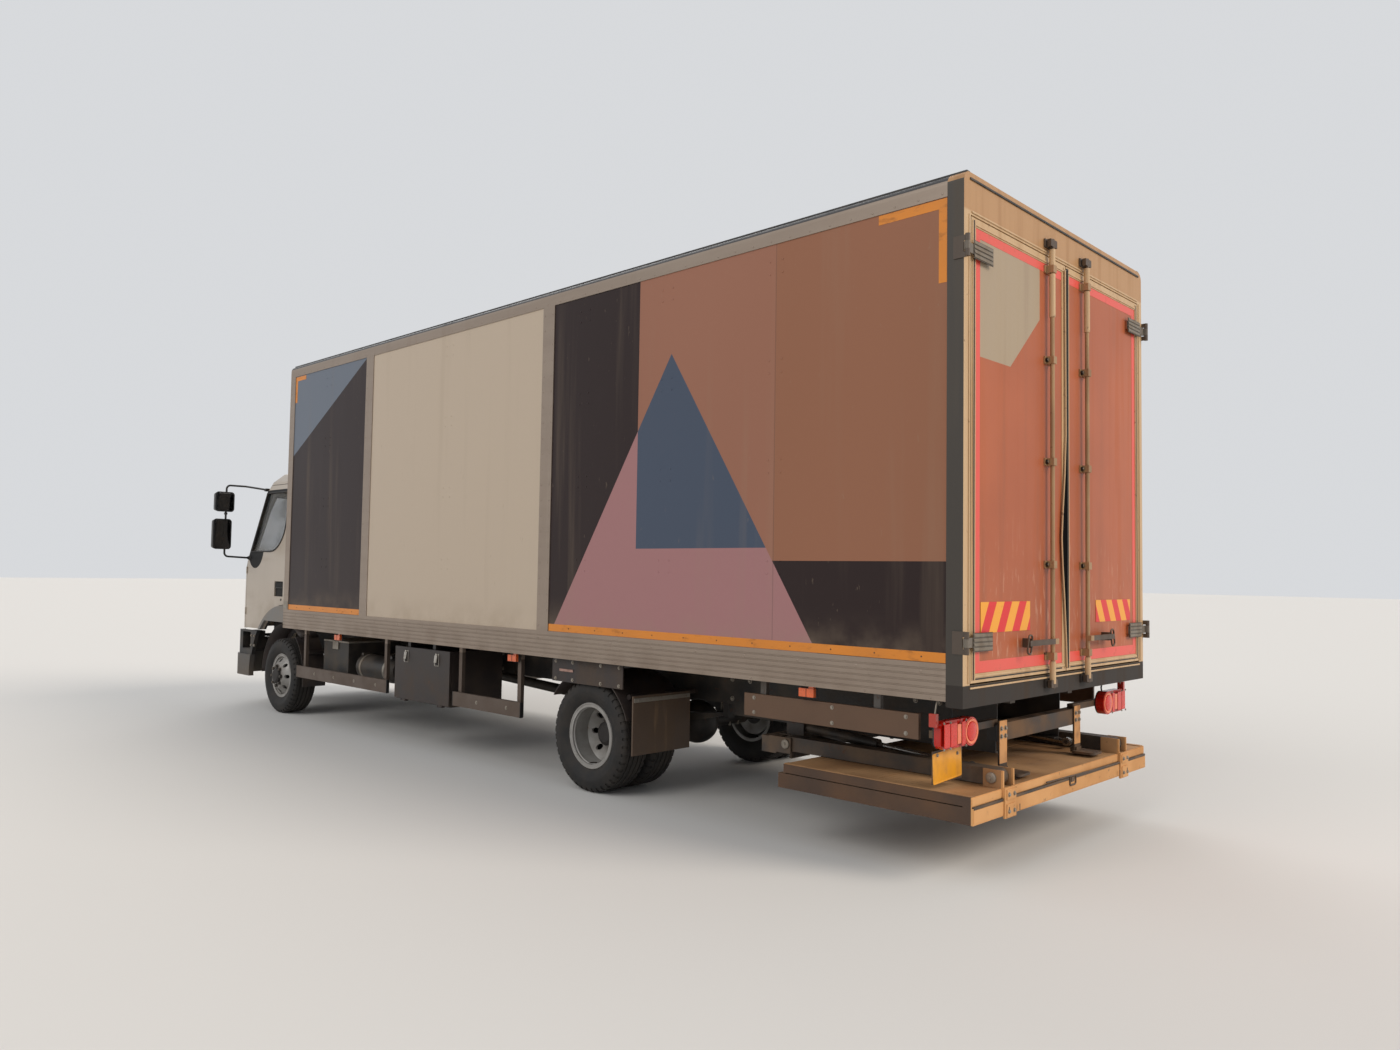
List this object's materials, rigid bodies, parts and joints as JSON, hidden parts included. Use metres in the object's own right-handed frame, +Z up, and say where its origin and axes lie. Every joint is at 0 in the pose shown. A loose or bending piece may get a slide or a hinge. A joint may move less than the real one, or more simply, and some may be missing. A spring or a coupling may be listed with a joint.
{
  "type": "box body truck",
  "caption": "Cab-over lorry with a tall panelled box body, twin rear doors, twin rear wheels and a slide-out tail lift under the floor.",
  "frame": {"origin": "on the ground, under the middle of the whole vehicle", "axes": "+X forward, +Y to the vehicle's left, +Z up"},
  "size_m": [9.9, 3.038, 3.79],
  "materials": {
    "chassis_black": "satin",
    "cast_metal": "matt",
    "tank_metal": "satin",
    "galvanised": "dull",
    "floor_board": "worn",
    "body_frame": "satin",
    "body_panel": "gloss",
    "roof_panel": "satin",
    "rear_door_paint": "gloss",
    "lamp_red": "gloss",
    "lamp_amber": "gloss",
    "white_board": "satin",
    "bare_aluminium": "satin",
    "box_paint": "satin",
    "black_plastic": "matt",
    "deck_paint": "dusty",
    "cab_paint": "gloss",
    "cab_glass": "clear",
    "bumper_plastic": "satin",
    "lamp_clear": "gloss",
    "trim_plastic": "matt",
    "seat_cloth": "woven",
    "tyre_rubber": "worn",
    "wheel_silver": "satin"
  },
  "bodies": {
    "chassis": {"chassis_frame": "chassis_black", "engine_block": "cast_metal", "front_axle": "chassis_black", "rear_axle": "chassis_black", "leaf_springs": "chassis_black", "air_tanks": "chassis_black", "fuel_tank": "tank_metal", "silencer": "cast_metal", "floor_bearers": "galvanised", "load_floor": "floor_board", "side_frames": "body_frame", "wall_left": "body_panel", "wall_right": "body_panel", "front_bulkhead": "body_panel", "roof": "roof_panel", "rear_frame": "galvanised", "underrun_beam": "chassis_black", "rear_lamps": "lamp_red", "side_markers": "lamp_amber", "side_boards": "white_board", "side_guards": "bare_aluminium", "toolbox": "box_paint", "mudguards": "black_plastic", "lift_rails": "chassis_black", "bumper": "bumper_plastic", "headlamps": "lamp_clear"},
    "cab": {"cab_shell": "cab_paint", "windscreen": "cab_glass", "grille": "black_plastic", "seats": "seat_cloth", "dashboard": "trim_plastic"},
    "cab_door_left": {"cab_door_left": "cab_paint", "door_glass_left": "cab_glass", "mirror_left": "black_plastic"},
    "cab_door_right": {"cab_door_right": "cab_paint", "door_glass_right": "cab_glass", "mirror_right": "black_plastic"},
    "steering_wheel": {"steering_wheel": "black_plastic"},
    "knuckle_left": {"knuckle_left": "cast_metal"},
    "knuckle_right": {"knuckle_right": "cast_metal"},
    "front_wheel_left": {"front_tyre_left": "tyre_rubber", "front_rim_left": "wheel_silver"},
    "front_wheel_right": {"front_tyre_right": "tyre_rubber", "front_rim_right": "wheel_silver"},
    "rear_wheels_left": {"rear_tyres_left": "tyre_rubber", "rear_rims_left": "wheel_silver"},
    "rear_wheels_right": {"rear_tyres_right": "tyre_rubber", "rear_rims_right": "wheel_silver"},
    "rear_door_left": {"rear_door_left": "rear_door_paint", "door_bars_left": "galvanised"},
    "rear_door_right": {"rear_door_right": "rear_door_paint", "door_bars_right": "galvanised"},
    "toolbox_door": {"toolbox_door": "box_paint"},
    "lift_carriage": {"lift_carriage": "chassis_black"},
    "lift_arms": {"lift_arms": "chassis_black", "lift_cylinders": "chassis_black"},
    "lift_platform": {"lift_platform": "deck_paint"}
  },
  "joints": [
    {"name": "cab_tilt", "type": "hinge", "parent": "chassis", "child": "cab", "pos_m": [4.8, 0, 0.65], "axis": [0, 1, 0], "range_deg": [0, 50]},
    {"name": "cab_door_left_swing", "type": "hinge", "parent": "cab", "child": "cab_door_left", "pos_m": [4.643, 1.07, 1.7], "axis": [0, 0, -1], "range_deg": [0, 72]},
    {"name": "cab_door_right_swing", "type": "hinge", "parent": "cab", "child": "cab_door_right", "pos_m": [4.643, -1.07, 1.7], "axis": [0, 0, 1], "range_deg": [0, 72]},
    {"name": "steer_left", "type": "hinge", "parent": "chassis", "child": "knuckle_left", "pos_m": [3.61, 0.8, 0.408], "axis": [0, 0, 1], "range_deg": [-40, 40]},
    {"name": "steer_right", "type": "hinge", "parent": "chassis", "child": "knuckle_right", "pos_m": [3.61, -0.8, 0.408], "axis": [0, 0, 1], "range_deg": [-40, 40]},
    {"name": "front_wheel_left_spin", "type": "hinge", "parent": "knuckle_left", "child": "front_wheel_left", "pos_m": [3.61, 0.97, 0.408], "axis": [0, 1, 0], "continuous": true},
    {"name": "front_wheel_right_spin", "type": "hinge", "parent": "knuckle_right", "child": "front_wheel_right", "pos_m": [3.61, -0.97, 0.408], "axis": [0, 1, 0], "continuous": true},
    {"name": "rear_wheels_left_spin", "type": "hinge", "parent": "chassis", "child": "rear_wheels_left", "pos_m": [-1.79, 0.895, 0.408], "axis": [0, 1, 0], "continuous": true},
    {"name": "rear_wheels_right_spin", "type": "hinge", "parent": "chassis", "child": "rear_wheels_right", "pos_m": [-1.79, -0.895, 0.408], "axis": [0, 1, 0], "continuous": true},
    {"name": "steering_wheel_turn", "type": "hinge", "parent": "cab", "child": "steering_wheel", "pos_m": [4.35, 0.56, 1.64], "axis": [-0.6157, 0, 0.788], "range_deg": [-800, 800]},
    {"name": "rear_door_left_swing", "type": "hinge", "parent": "chassis", "child": "rear_door_left", "pos_m": [-4.918, 1.262, 2.3], "axis": [0, 0, -1], "range_deg": [0, 265]},
    {"name": "rear_door_right_swing", "type": "hinge", "parent": "chassis", "child": "rear_door_right", "pos_m": [-4.918, -1.262, 2.3], "axis": [0, 0, 1], "range_deg": [0, 265]},
    {"name": "toolbox_door_drop", "type": "hinge", "parent": "chassis", "child": "toolbox_door", "pos_m": [0.495, 1.177, 0.423], "axis": [-1, 0, 0], "range_deg": [0, 90]},
    {"name": "lift_slide", "type": "slide", "parent": "chassis", "child": "lift_carriage", "axis": [-1, 0, 0], "range_m": [0, 1.15]},
    {"name": "lift_lower", "type": "hinge", "parent": "lift_carriage", "child": "lift_arms", "pos_m": [-3.41, 0, 0.525], "axis": [0, -1, 0], "range_deg": [0, 12]},
    {"name": "lift_level", "type": "hinge", "parent": "lift_arms", "child": "lift_platform", "pos_m": [-4.85, 0, 0.525], "axis": [0, -1, 0], "range_deg": [-12, 0]}
  ],
  "couplings": [
    {"joint": "steer_right", "follows": "steer_left", "ratio": 1},
    {"joint": "steering_wheel_turn", "follows": "steer_left", "ratio": 20},
    {"joint": "lift_level", "follows": "lift_lower", "ratio": -1}
  ]
}
